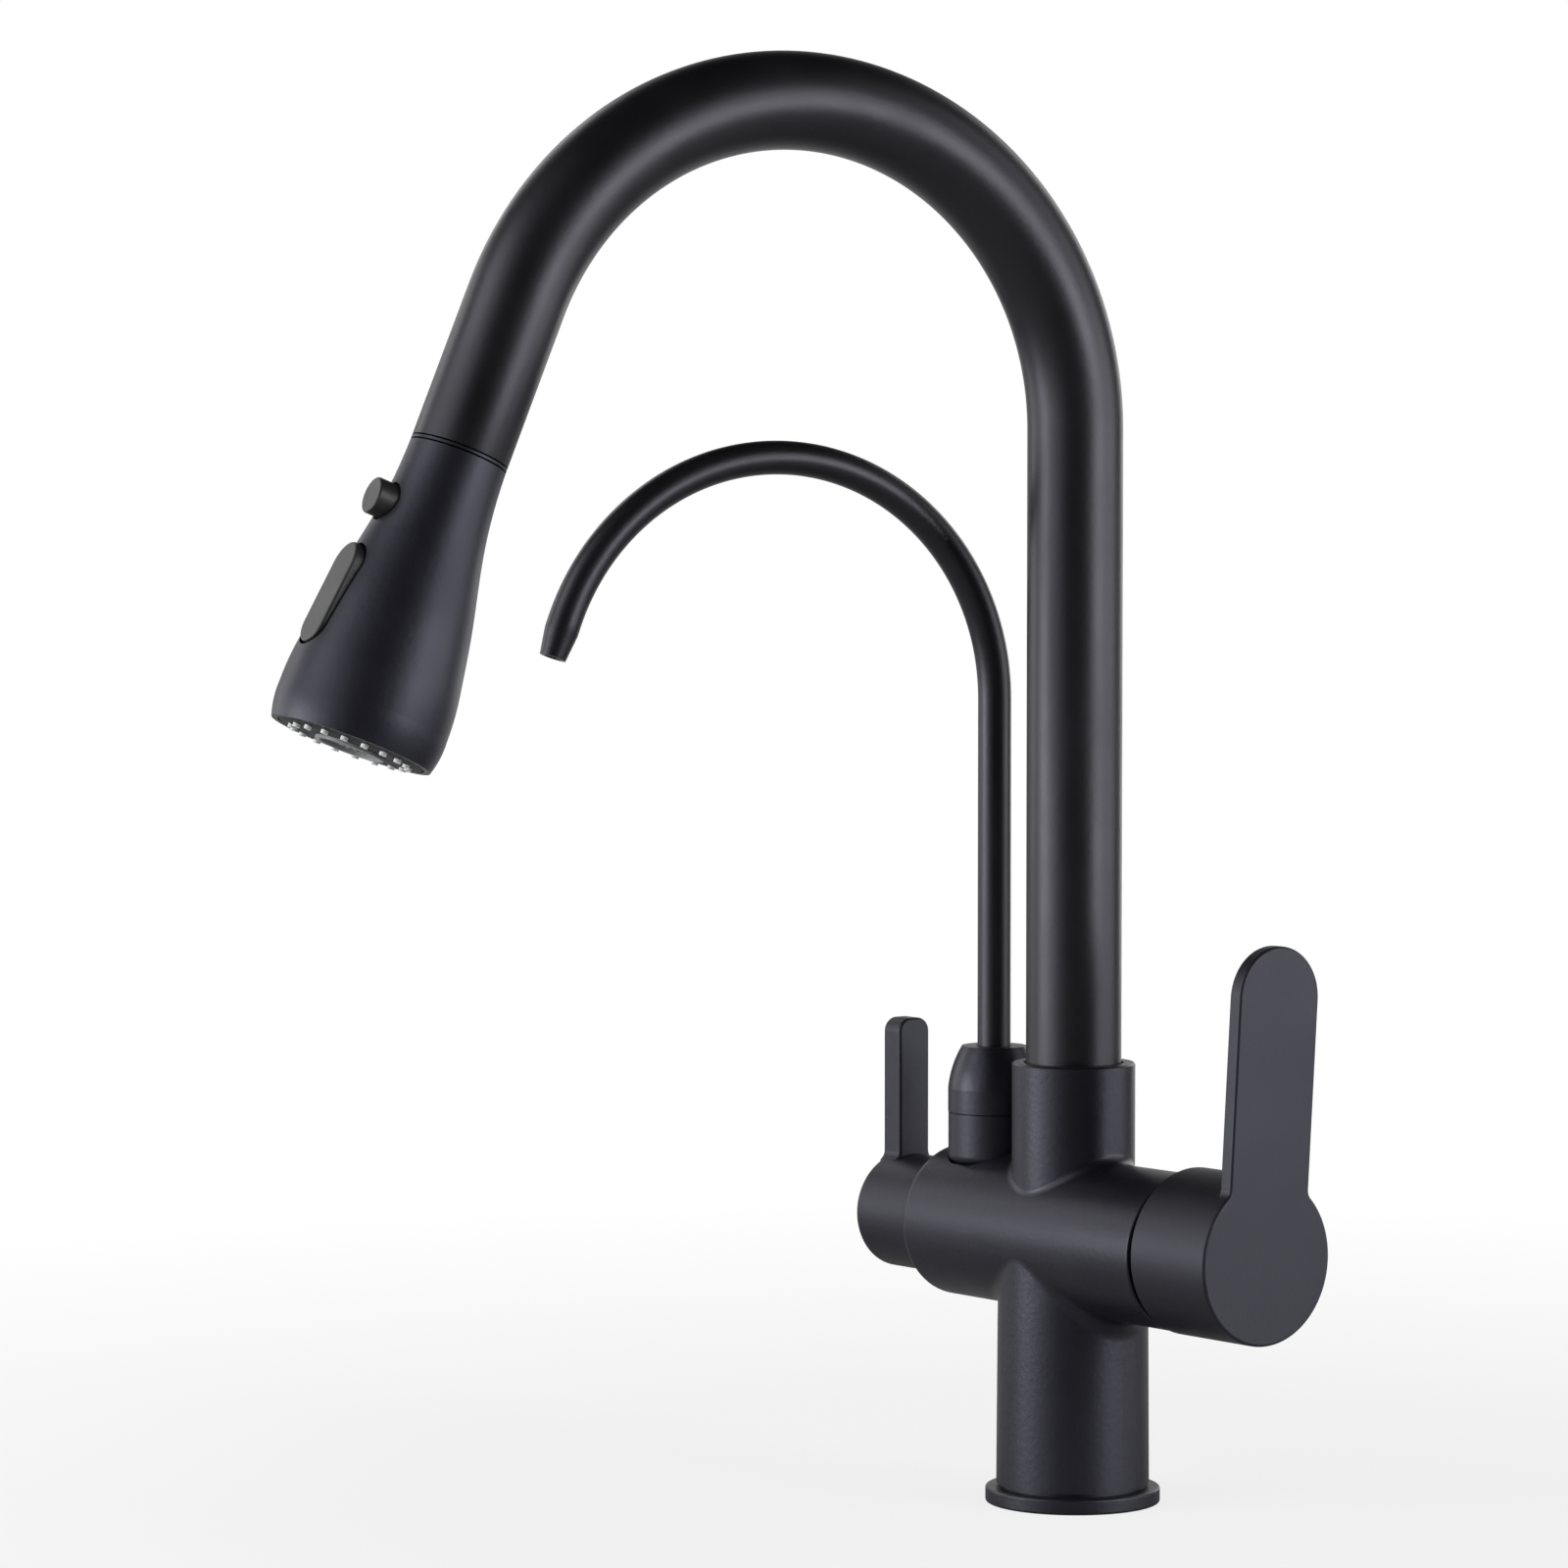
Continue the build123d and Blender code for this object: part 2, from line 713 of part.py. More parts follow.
def filter_disc_at(low):
    disc = bar(filter_disc, low, low + filter_disc_thickness)
    for sign in (-1, 1):
        disc = disc - bar(filter_port, low, low + filter_disc_thickness, 0, sign * filter_port_offset)
    return disc


def filter_fixed_disc():
    return filter_side * filter_disc_at(filter_fixed_start)


def filter_moving_disc():
    return filter_side * Rot(0, 0, 90) * filter_disc_at(filter_moving_start)


def filter_spindle():
    head_end = filter_head_start + spindle_head
    span = (-headwork_bore, headwork_bore)
    head = bar(headwork_bore - slip, filter_head_start, head_end)
    head = head & block(span, (-spindle_radius, spindle_radius), (filter_head_start, head_end))
    return filter_side * (head + bar(spindle_radius, filter_head_start, spindle_reach))


def filter_lever():
    hub = bar(filter_hub, filter_hub_start, filter_face)
    hub = fillet(hub.edges().filter_by(GeomType.CIRCLE).sort_by(Axis.Z)[-1], filter_hub_edge)
    outline = lever_outline(
        filter_hub, small_blade_reach, small_blade_width, small_blade_corner, small_blade_root
    )
    width = small_blade_width + 2 * small_blade_flare
    strip = Rectangle(small_blade_reach, width, align=(Align.MIN, Align.CENTER))
    blade = Pos(0, 0, filter_face - small_blade_thickness) * extrude(outline & strip, small_blade_thickness)
    rims = blade.faces().sort_by(Axis.Z)[-1].edges() + blade.faces().sort_by(Axis.Z)[0].edges()
    blade = fillet(rims.filter_by(lambda edge: edge.center().X > filter_hub / 2), small_blade_edge)
    lever = hub + blade
    lever = lever - bar(filter_hub - filter_hub_wall, filter_hub_start, filter_hub_cavity)
    lever = lever + bar(filter_boss, filter_boss_start, filter_hub_cavity + past)
    lever = lever - bar(spindle_radius + running, filter_boss_start, spindle_reach + seam)
    turned = Pos(0, 0, small_grub_place) * Rot(0, -90, 0)
    lever = lever - turned * bar(grub_radius + face_gap, 0, filter_boss + past)
    key_hole = bar(grub_radius + seam, filter_hub - 2 * filter_hub_wall, filter_hub + past)
    return filter_side * (lever - turned * key_hole)


def filter_lever_screw():
    low = spindle_radius + 2 * running
    screw = grub_screw(low, low + small_grub_length)
    return filter_side * Pos(0, 0, small_grub_place) * Rot(0, -90, 0) * screw


def filter_socket():
    drum = bar(socket_radius, socket_floor, socket_top)
    drum = fillet(drum.edges().filter_by(GeomType.CIRCLE).sort_by(Axis.Z)[0], socket_round)
    drum = drum + bar(socket_spigot, socket_spigot_low, socket_floor)
    drum = drum + bar(socket_thread, socket_top, socket_thread_top)
    drum = drum - bar(socket_bore, socket_bore_floor, socket_thread_top)
    return filter_riser * (drum - bar(socket_passage, socket_spigot_low, socket_bore_floor))


def filter_bell_nut():
    curve_start = bell_low + bell_straight
    out = (bell_radius + bell_top_radius) / 2 + bell_bulge
    up = (curve_start + bell_top) / 2 + bell_bulge / 2
    side = ThreePointArc((bell_radius, 0, curve_start), (out, 0, up), (bell_top_radius, 0, bell_top))
    rest = Polyline((bell_top_radius, 0, bell_top), (0, 0, bell_top), (0, 0, bell_low),
                    (bell_radius, 0, bell_low), (bell_radius, 0, curve_start))
    bell = revolve(make_face(side + rest), Axis.Z)
    thread = bar(socket_thread + slip, bell_low, socket_thread_top + seam)
    return filter_riser * (bell - thread - bar(filter_tube_radius + seam, bell_low, bell_top))


def filter_bush():
    inner = filter_tube_radius + slip
    return filter_riser * ring(socket_bore - slip, inner, foot_top + running, socket_thread_top + seam / 2)


def foot_grooves():
    return [foot_start + foot_length * share for share in foot_groove_shares]


def filter_foot():
    outer = socket_bore - slip
    foot = bar(outer, foot_start, foot_top)
    for height in foot_grooves():
        half = small_seal_wire + slip
        foot = foot - ring(outer + past, outer - 2 * small_seal_wire, height - half, height + half)
    foot = foot - bar(filter_tube_radius + face_gap, foot_start + foot_tube_depth, foot_top)
    return filter_riser * (foot - bar(foot_neck, foot_start, foot_top))


def filter_foot_seals():
    radius = socket_bore - small_seal_wire - running
    return [filter_riser * seal(radius, small_seal_wire, height) for height in foot_grooves()]


def filter_tube():
    foot = foot_start + foot_tube_depth
    bend = (filter_bend_height, filter_bend, filter_sweep, filter_end)
    return filter_spout_side * gooseneck(filter_tube_radius, filter_tube_bore, foot, *bend)


def filter_tip():
    mouth = bend_end(filter_bend_height, filter_bend, filter_sweep).location * Pos(0, 0, filter_end)
    tip = lathe(
        (filter_tube_bore - running, -tip_spigot), (filter_tube_bore - running, face_gap),
        (filter_tube_radius, face_gap), (tip_radius, tip_length), (tip_bore, tip_length),
        (tip_bore, -tip_spigot),
    )
    return filter_spout_side * mouth * tip


def spout_foot():
    foot = bar(foot_radius, spout_foot_floor, spout_foot_top)
    foot = foot + bar(tube_bore - running, spout_foot_top, spout_foot_top + foot_rise)
    half = keeper_groove / 2
    floor = foot_radius - keeper_depth
    foot = foot - ring(foot_radius + past, floor, keeper_height - half, keeper_height + half)
    half = seal_groove / 2
    floor = foot_radius - 2 * big_seal_wire
    foot = foot - ring(foot_radius + past, floor, seal_height() - half, seal_height() + half)
    return foot - bar(foot_bore, spout_foot_floor, spout_foot_top + foot_rise)


# The seal sits midway between the keeper's groove and the foot's top
def seal_height():
    return (keeper_height + keeper_groove / 2 + spout_foot_top) / 2


def spout_seal():
    return seal(spout_bore - big_seal_wire - running, big_seal_wire, seal_height())


def wear_ring():
    return ring(spout_bore - slip, foot_bore, spout_bore_floor, spout_bore_floor + wear_washer)


def glide_ring():
    return ring(spout_bore - face_gap, tube_radius + running, glide_high - glide_length, glide_high)


# Headless screw from the back of the collar into the foot's groove: it keeps the spout in and lets it turn
def keeper_screw():
    screw = grub_screw(foot_radius - keeper_depth + slip, collar_radius - seam)
    return Pos(0, 0, keeper_height) * Rot(-90, 0, 0) * screw


def gooseneck_tube():
    foot = spout_foot_top + face_gap
    bend = (bend_height, bend_radius, bend_sweep, end_length)
    return spout_side * gooseneck(tube_radius, tube_bore, foot, *bend)


def docking_guide():
    outer = tube_bore - running
    return head_side * lathe(
        (outer, -guide_length), (outer, -neck_line), (guide_mouth, -neck_line), (guide_bore, -guide_taper),
        (guide_bore, -guide_length),
    )


def pullout_hose():
    bend = (bend_height, bend_radius, bend_sweep, end_length - hose_stop)
    return spout_side * gooseneck(hose_radius, hose_bore, hose_low, *bend)


# End of the hose that leaves the spout with the head: last stretch of hose, crimped ferrule and swivel nut
def hose_tail():
    return head_side * ring(hose_radius, hose_bore, seam - hose_stop, -nut_back)


def hose_ferrule():
    sleeve = ring(ferrule_radius, hose_radius + face_gap, -ferrule_stop, -nut_back)
    neck = ring(ferrule_radius, hose_bore, -nut_back, flange_back)
    flange = ring(ferrule_flange, hose_bore, flange_back, flange_back + ferrule_flange_length)
    return head_side * (sleeve + neck + flange)


def hose_washer():
    return head_side * ring(ferrule_flange - slip, hose_bore, washer_low, washer_low + washer_thickness)


def hose_nut():
    inner = nipple_radius + running
    back = -nut_back
    nut = lathe((0, back), (swivel_nut_mouth, back), (swivel_nut_radius, back + swivel_nut_taper),
                (swivel_nut_radius, -nut_front), (0, -nut_front))
    nut = nut - bar(ferrule_radius + slip, back, -nut_front) - bar(inner, back + nut_shoulder, -nut_front)
    reach = (swivel_nut_radius - flat_sink, swivel_nut_radius + past)
    for turn in range(swivel_flats):
        flat = block(reach, (-flat_half, flat_half), (-nut_front - flat_length, -nut_front))
        nut = nut - Rot(0, 0, 360 / swivel_flats * turn) * flat
    return head_side * nut


# Outline of the head's shell, inset by a wall
def shell_side(inset):
    neck = (neck_radius_outer - inset, 0, shell_start)
    points = [neck] + [(radius - inset, 0, place) for place, radius in (waist, flare, shoulder, belly)]
    side = Spline(*points, tangents=[(0.02, 0, 1), (0, 0, 1)])
    bulge = (rim_bulge[1] - inset, 0, rim_bulge[0])
    return side + ThreePointArc(points[-1], bulge, (rim_radius - inset, 0, head_length))


def shell_solid(inset):
    side = shell_side(inset)
    top = (neck_radius_outer - inset, 0, shell_start)
    end = (rim_radius - inset, 0, head_length)
    closing = Polyline(end, (0, 0, head_length), (0, 0, shell_start), top)
    return revolve(make_face(side + closing), Axis.Z)


def rocker_frame():
    tilt = math.radians(rocker_tilt)
    along = (math.sin(tilt), 0, math.cos(tilt))
    out = (math.cos(tilt), 0, -math.sin(tilt))
    return Plane((rocker_face, 0, rocker_place), x_dir=along, z_dir=out).location


def head_shell():
    shell = shell_solid(0) - shell_solid(shell_wall)
    neck_inside = neck_radius_outer - shell_wall / 2
    shell = shell + ring(neck_inside, core_shoulder + face_gap, shell_start, core_shoulder_length)
    shell = shell + ring(belly[1] - shell_wall, diffuser_radius + face_gap, diffuser_back, face_back)
    shell = shell - bar(face_radius + face_gap, face_back, head_length + past)
    button_hole = bar(button_radius + button_gap, core_radius, belly[1] + past)
    button_hole = Pos(0, 0, button_place) * radial * button_hole
    slot = SlotOverall(rocker_length + 2 * rocker_end_gap, rocker_width + 2 * rocker_gap)
    rocker_hole = rocker_frame() * Pos(0, 0, -rocker_depth) * extrude(slot, 2 * rocker_depth)
    return head_side * (shell - button_hole - rocker_hole)


def neck_ring():
    low = neck_line
    trim = ring(neck_radius_outer, core_shoulder + face_gap, low, low + neck_ring_length)
    return head_side * trim


def waterway_body():
    core = bar(nipple_radius, core_start, 0)
    core = core + lathe(
        (0, -cone_length), (cone_small, -cone_length), (cone_big, 0), (core_shoulder, 0),
        (core_shoulder, core_shoulder_length), (core_radius, core_shoulder_length + core_step),
        (core_radius, core_end), (0, core_end),
    )
    valve_end = core_start + check_valve_length + check_valve_room
    core = core - bar(nipple_bore, core_start, valve_end)
    core = core - bar(core_bore, core_start, spool_start)
    core = core - bar(spool_radius + running, spool_start - spool_room, core_end)
    button = Pos(0, 0, button_place) * radial
    core = core - button * bar(button_pocket, button_pocket_floor, core_shoulder + past)
    plunger_end = plunger_foot - button_travel - past
    core = core - button * bar(plunger_radius + running, plunger_end, core_radius)
    inner = rocker_lug_place
    outer = inner + rocker_lug
    reach = rocker_pivot + rocker_lug_top
    for low, high in ((inner, outer), (-outer, -inner)):
        along = (rocker_place - rocker_lug_half, rocker_place + rocker_lug_half)
        core = core + block((core_radius - rocker_lug_root, reach), (low, high), along)
    pin = Cylinder(rocker_pin_radius + face_gap, 2 * (outer + past))
    pin = Pos(rocker_pivot, 0, rocker_place) * Rot(90, 0, 0) * pin
    half = rocker_arm + rocker_arm_gap
    window = rocker_arm + rocker_arm_sweep
    arm_way = block((0, core_radius + past), (-half, half), (rocker_place - window, rocker_place + window))
    return head_side * (core - pin - arm_way)


def check_valve():
    low = core_start + slip
    high = low + check_valve_length
    outer = nipple_bore - face_gap
    cage = ring(outer, outer - check_valve_wall, low, high)
    seat_ring = ring(outer, check_seat_bore, high - check_seat_length, high)
    cone = low + poppet_length
    poppet = lathe((0, low), (poppet_stem, low), (poppet_stem, cone), (poppet_radius, cone),
                   (poppet_stem, cone + poppet_length), (poppet_stem, high - seam), (0, high - seam))
    spider = block((seam - outer, outer - seam), (-spider_half, spider_half), (low, low + spider_length))
    return head_side * (cage + seat_ring + poppet + spider)


def pause_button():
    cap = bar(button_radius, button_skirt, button_top)
    cap = fillet(cap.edges().filter_by(GeomType.CIRCLE).sort_by(Axis.Z)[-1], button_edge)
    cap = cap + bar(button_flange, button_skirt, button_skirt + flange_thickness)
    stem = bar(plunger_radius, plunger_foot, button_skirt)
    waist_cut = ring(plunger_radius + past, plunger_waist, -core_bore, core_bore / 2)
    return head_side * Pos(0, 0, button_place) * radial * (cap + stem - waist_cut)


def button_spring():
    height = button_skirt - button_pocket_floor - spring_wire - 2 * slip
    low = button_pocket_floor + spring_wire / 2 + slip
    path = Pos(0, 0, low) * Helix(height / spring_turns, height, spring_radius)
    start = path @ 0
    section = Plane(start, z_dir=path % 0) * Circle(spring_wire / 2)
    return head_side * Pos(0, 0, button_place) * radial * sweep(section, path=path)


def mode_rocker():
    plate = extrude(SlotOverall(rocker_length, rocker_width), -rocker_depth)
    top = plate.faces().sort_by(Axis.Z)[-1].edges()
    plate = rocker_frame() * fillet(top, rocker_edge)
    floor = rocker_pivot - rocker_pin_radius - rocker_web
    inside = block((0, floor), (-rocker_width, rocker_width), (0, head_length))
    plate = plate - inside
    high = rocker_pivot + rocker_lug_top + rocker_lug_room
    along = rocker_lug_half + rocker_lug_room
    for low, wide in ((rocker_lug_place - seam, rocker_width), (-rocker_width, seam - rocker_lug_place)):
        plate = plate - block((0, high), (low, wide), (rocker_place - along, rocker_place + along))
    arm = Pos(0, 0, rocker_place) * radial * bar(rocker_arm, rocker_arm_foot, rocker_pivot + rocker_web)
    pin = Rot(90, 0, 0) * Cylinder(rocker_pin_radius + running, 4 * rocker_width)
    pin = Pos(rocker_pivot, 0, rocker_place) * pin
    ball = Pos(rocker_arm_foot, 0, rocker_place) * Sphere(rocker_ball)
    return head_side * (plate + arm + ball - pin)


def rocker_pin():
    length = 2 * (rocker_lug_place + rocker_lug)
    return head_side * Pos(rocker_pivot, 0, rocker_place) * Rot(90, 0, 0) * Cylinder(rocker_pin_radius, length)


def diverter_spool():
    spool = bar(spool_radius, spool_start, spool_start + spool_length)
    groove = ring(spool_radius + past, spool_waist, rocker_place - spool_slot, rocker_place + spool_slot)
    return head_side * (spool - groove - bar(spool_vent, spool_start, spool_start + spool_length))


def nozzle_places():
    turns = [math.radians(360 * n / nozzle_count) for n in range(nozzle_count)]
    return [(nozzle_circle * math.cos(turn), nozzle_circle * math.sin(turn)) for turn in turns]


def diffuser():
    plate = ring(diffuser_radius, stream_radius + slip, diffuser_back, diffuser_back + diffuser_length)
    web = ring(diffuser_radius, spool_radius, diffuser_back, diffuser_back + diffuser_web)
    low = diffuser_back + diffuser_floor
    groove = ring(nozzle_circle + diffuser_channel, nozzle_circle - diffuser_channel, low, mat_back)
    return head_side * (plate + web - groove)


def nozzle_mat():
    high = mat_back + mat_thickness
    mat = ring(mat_radius, stream_radius + slip, mat_back, high)
    tip = face_plane + nozzle_rise
    seated = (Align.CENTER, Align.CENTER, Align.MIN)
    nozzle = Cone(nozzle_radius, nozzle_tip, tip - high, align=seated)
    for x, y in nozzle_places():
        mat = mat + Pos(x, y, high) * nozzle
    for x, y in nozzle_places():
        mat = mat - bar(nozzle_bore, mat_back, tip, x, y)
    return head_side * mat


def spray_face():
    inner = stream_radius + slip
    crown = face_plane + face_dome
    plate = lathe((inner, face_back), (face_radius, face_back), (face_radius, face_plane - face_edge),
                  (face_radius - face_edge, face_plane), (nozzle_circle, crown - slip), (inner, crown))
    for x, y in nozzle_places():
        plate = plate - bar(nozzle_radius + slip, face_back, crown + past, x, y)
    return head_side * plate


def stream_insert():
    top = face_plane + stream_rise
    inner = stream_radius - stream_wall
    body = ring(stream_radius, inner, diffuser_back + diffuser_web + 2 * slip, top)
    rim = body.edges().filter_by(GeomType.CIRCLE).sort_by(Axis.Z)[-2:]
    high = top - mesh_sink - mesh_thickness
    ledge = ring(stream_radius, inner - ledge_width, high - ledge_thickness, high)
    return head_side * (fillet(rim, stream_edge) + ledge)


def stream_mesh():
    top = face_plane + stream_rise - mesh_sink
    radius = stream_radius - stream_wall - face_gap
    disc = bar(radius, top - mesh_thickness + face_gap, top)
    rows = int(radius / mesh_pitch)
    for row in range(-rows, rows + 1):
        for column in range(-rows, rows + 1):
            x = mesh_pitch * (column + row / 2)
            y = mesh_pitch * row * math.sqrt(3) / 2
            if math.hypot(x, y) < radius - mesh_hole - seam:
                disc = disc - bar(mesh_hole, top - 2 * mesh_thickness, top + past, x, y)
    return head_side * disc


pieces = [
    valve_body, base_flange, deck_gasket, cartridge_base, cartridge_seals, fixed_ceramic_disc,
    moving_ceramic_disc, disc_driver, cartridge_housing, swivel_carrier, spindle_pin, lever_spindle,
    cartridge_nut, cover_dome, mixer_lever, lever_grub_screw, screw_cover, filter_headwork, filter_seat_seal,
    filter_fixed_disc, filter_moving_disc, filter_spindle, filter_lever, filter_lever_screw, filter_socket,
    filter_bell_nut, filter_bush, filter_foot, filter_foot_seals, filter_tube, filter_tip, spout_foot,
    spout_seal, wear_ring, glide_ring, keeper_screw, gooseneck_tube, docking_guide, pullout_hose, hose_tail,
    hose_ferrule, hose_washer, hose_nut, head_shell, neck_ring, waterway_body, check_valve, pause_button,
    button_spring, mode_rocker, rocker_pin, diverter_spool, diffuser, nozzle_mat, spray_face, stream_insert,
    stream_mesh,
]

os.makedirs("parts", exist_ok=True)
for piece in pieces:
    solid = piece()
    if isinstance(solid, list):
        solid = Compound(solid)
    export_step(solid, f"parts/{piece.__name__}.step")
    print(piece.__name__, len(solid.solids()), round(solid.volume))
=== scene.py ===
import math

import bmesh
import bpy
from mathutils import Matrix, Vector


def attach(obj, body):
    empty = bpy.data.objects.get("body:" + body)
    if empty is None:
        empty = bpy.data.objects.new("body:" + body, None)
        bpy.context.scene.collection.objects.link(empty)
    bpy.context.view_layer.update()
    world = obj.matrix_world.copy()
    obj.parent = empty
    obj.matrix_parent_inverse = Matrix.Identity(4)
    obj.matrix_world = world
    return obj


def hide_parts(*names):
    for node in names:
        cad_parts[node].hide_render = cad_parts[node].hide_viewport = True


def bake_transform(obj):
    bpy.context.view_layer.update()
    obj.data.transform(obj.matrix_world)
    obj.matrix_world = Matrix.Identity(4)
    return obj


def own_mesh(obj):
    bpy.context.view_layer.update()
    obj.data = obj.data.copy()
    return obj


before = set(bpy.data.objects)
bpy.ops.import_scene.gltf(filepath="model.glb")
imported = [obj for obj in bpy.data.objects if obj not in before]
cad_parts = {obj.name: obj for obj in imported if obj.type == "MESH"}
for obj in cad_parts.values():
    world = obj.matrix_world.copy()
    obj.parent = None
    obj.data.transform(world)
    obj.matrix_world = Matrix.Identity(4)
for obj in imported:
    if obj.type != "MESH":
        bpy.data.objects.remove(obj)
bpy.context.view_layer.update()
mm = 0.001
print("frame loaded:", len(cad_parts), "solids")


class Wire:  # a shader socket: the usual operators on it add Math nodes
    def __init__(self, tree, socket):
        self.tree = tree
        self.socket = socket

    def maths(self, operation, other=None, swapped=False):
        node = self.tree.nodes.new("ShaderNodeMath")
        node.operation = operation
        values = (other, self) if swapped else (self, other)
        for place, value in zip(node.inputs, values):
            feed(self.tree, place, value)
        return Wire(self.tree, node.outputs[0])

    def __add__(self, other):
        return self.maths("ADD", other)

    def __sub__(self, other):
        return self.maths("SUBTRACT", other)

    def __rsub__(self, other):
        return self.maths("SUBTRACT", other, True)

    def __mul__(self, other):
        return self.maths("MULTIPLY", other)

    def __pow__(self, other):
        return self.maths("POWER", other)

    __radd__ = __add__
    __rmul__ = __mul__


def feed(tree, place, value):  # a link for a wire, a plain value for anything else
    if isinstance(value, Wire):
        tree.links.new(value.socket, place)
    elif value is not None:
        place.default_value = value


class Finish:  # the nodes of one material or of the world
    def __init__(self, owner):
        self.owner = owner
        owner.use_nodes = True
        self.tree = owner.node_tree
        self.tree.nodes.clear()

    def add(self, kind, settings=None, inputs=None, out=0):
        node = self.tree.nodes.new(kind)
        for key, value in (settings or {}).items():
            setattr(node, key, value)
        for key, value in (inputs or {}).items():
            feed(self.tree, node.inputs[key], value)
        return Wire(self.tree, node.outputs[out])

    def place(self, scale=(1, 1, 1)):
        where = self.add("ShaderNodeTexCoord", out="Object")
        return self.add("ShaderNodeMapping", None, {"Vector": where, "Scale": scale})

    def noise(self, where, scale, detail=2.0, rough=0.5):
        sockets = {"Vector": where, "Scale": scale, "Detail": detail, "Roughness": rough}
        return self.add("ShaderNodeTexNoise", None, sockets)

    def between(self, value, low, high, outLow=0.0, outHigh=1.0):
        sockets = {"Value": value, "From Min": low, "From Max": high, "To Min": outLow, "To Max": outHigh}
        return self.add("ShaderNodeMapRange", {"clamp": True}, sockets)

    def lightPaths(self):  # camera, glossy and transmission rays
        direct = self.add("ShaderNodeLightPath", out="Is Camera Ray")
        outputs = direct.socket.node.outputs
        glossy = Wire(self.tree, outputs["Is Glossy Ray"])
        through = Wire(self.tree, outputs["Is Transmission Ray"])
        return direct, glossy, through

    def depthAlong(self, where, axis):  # how far a point or a direction lies along the axis
        return self.add("ShaderNodeVectorMath", {"operation": "DOT_PRODUCT"}, {0: where, 1: axis}, "Value")

    def mixed(self, share, first, second):
        return self.add("ShaderNodeMix", {"data_type": "RGBA"}, {0: share, 6: first, 7: second}, 2)

    def bump(self, height, depth, under=None):
        sockets = {"Height": height, "Distance": depth, "Strength": 1.0, "Normal": under}
        return self.add("ShaderNodeBump", None, sockets)

    def surface(self, shader):
        output = self.tree.nodes.new("ShaderNodeOutputMaterial")
        self.tree.links.new(shader.socket, output.inputs["Surface"])
        return self.owner

    def principled(self, **sockets):
        named = {key.replace("_", " "): value for key, value in sockets.items()}
        return self.surface(self.add("ShaderNodeBsdfPrincipled", None, named))


def newFinish(name):
    return Finish(bpy.data.materials.new(name))


# Black powder coat: a dark ground, a fine leathery skin and a roughness that wanders a little.
# A noise is given as waves to the metre, detail and roughness, and depths are in metres.
coatNoise = {"drift": (38.0, 3.0, 0.55), "grain": (5200.0, 1.0, 0.4), "peel": (620.0, 1.5, 0.4)}
coatIor = 1.52
coatLook = {
    "casting": {"ground": (0.0042, 0.0041, 0.0060, 1), "light": (0.0062, 0.0061, 0.0088, 1),
                "tint": (0.80, 0.79, 1.0, 1), "rough": (0.38, 0.45), "skin": 0.000016, "peel": 0.00005},
    "tube": {"ground": (0.0042, 0.0041, 0.0055, 1), "light": (0.0060, 0.0059, 0.0078, 1),
             "tint": (0.88, 0.87, 1.0, 1), "rough": (0.38, 0.44), "skin": 0.000010, "peel": 0.00003},
    "head": {"ground": (0.0045, 0.0045, 0.0070, 1), "light": (0.0065, 0.0065, 0.0100, 1),
             "tint": (0.78, 0.79, 1.0, 1), "rough": (0.42, 0.50), "skin": 0.000014, "peel": 0.00004},
    "lever": {"ground": (0.0042, 0.0041, 0.0060, 1), "light": (0.0062, 0.0061, 0.0088, 1),
              "tint": (0.81, 0.80, 1.0, 1), "rough": (0.46, 0.54), "skin": 0.000018, "peel": 0.00003},
    # key: a lighter, neutral copy of the black coat; its lighter ground and light tone are painted light,
    # standing in for the light the button and rocker faces catch from the lamps on the left
    "key": {"ground": (0.012, 0.012, 0.013, 1), "light": (0.020, 0.020, 0.021, 1),
            "tint": (1.0, 1.0, 1.0, 1), "rough": (0.42, 0.52), "skin": 0.000020, "peel": 0.00003},
}


def blackCoat(kind):
    look = coatLook[kind]
    finish = newFinish(kind + "Coat")
    where = finish.place()
    drift = finish.noise(where, *coatNoise["drift"])
    grain = finish.noise(where, *coatNoise["grain"])
    peel = finish.noise(where, *coatNoise["peel"])
    colour = finish.mixed(finish.between(drift, 0.35, 0.7), look["ground"], look["light"])
    rough = finish.between(drift * 0.7 + grain * 0.3, 0.35, 0.65, *look["rough"])
    skin = finish.bump(peel, look["peel"])
    skin = finish.bump(grain, look["skin"], skin)
    return finish.principled(Base_Color=colour, Roughness=rough, Normal=skin, IOR=coatIor,
                             Specular_Tint=look["tint"])


# Metals of the inner works: fine tool lines across the turning axis
metalLook = {
    "brass": {"dark": (0.50, 0.33, 0.13, 1), "bright": (0.78, 0.60, 0.30, 1), "rough": (0.22, 0.40),
              "stain": (90.0, 4.0, 0.6), "lines": (2600.0, 2.0, 0.6), "stretch": 0.08, "depth": 0.00001},
    "steel": {"dark": (0.42, 0.42, 0.43, 1), "bright": (0.66, 0.66, 0.68, 1), "rough": (0.20, 0.36),
              "stain": (90.0, 4.0, 0.6), "lines": (3400.0, 2.0, 0.6), "stretch": 0.08, "depth": 0.00001},
}


def metal(kind):
    look = metalLook[kind]
    finish = newFinish(kind)
    stain = finish.noise(finish.place(), *look["stain"])
    cut = finish.noise(finish.place((1, 1, look["stretch"])), *look["lines"])
    colour = finish.mixed(finish.between(stain, 0.3, 0.7), look["dark"], look["bright"])
    rough = finish.between(stain * 0.5 + cut * 0.5, 0.3, 0.7, *look["rough"])
    return finish.principled(Base_Color=colour, Roughness=rough, Normal=finish.bump(cut, look["depth"]),
                             Metallic=1.0)


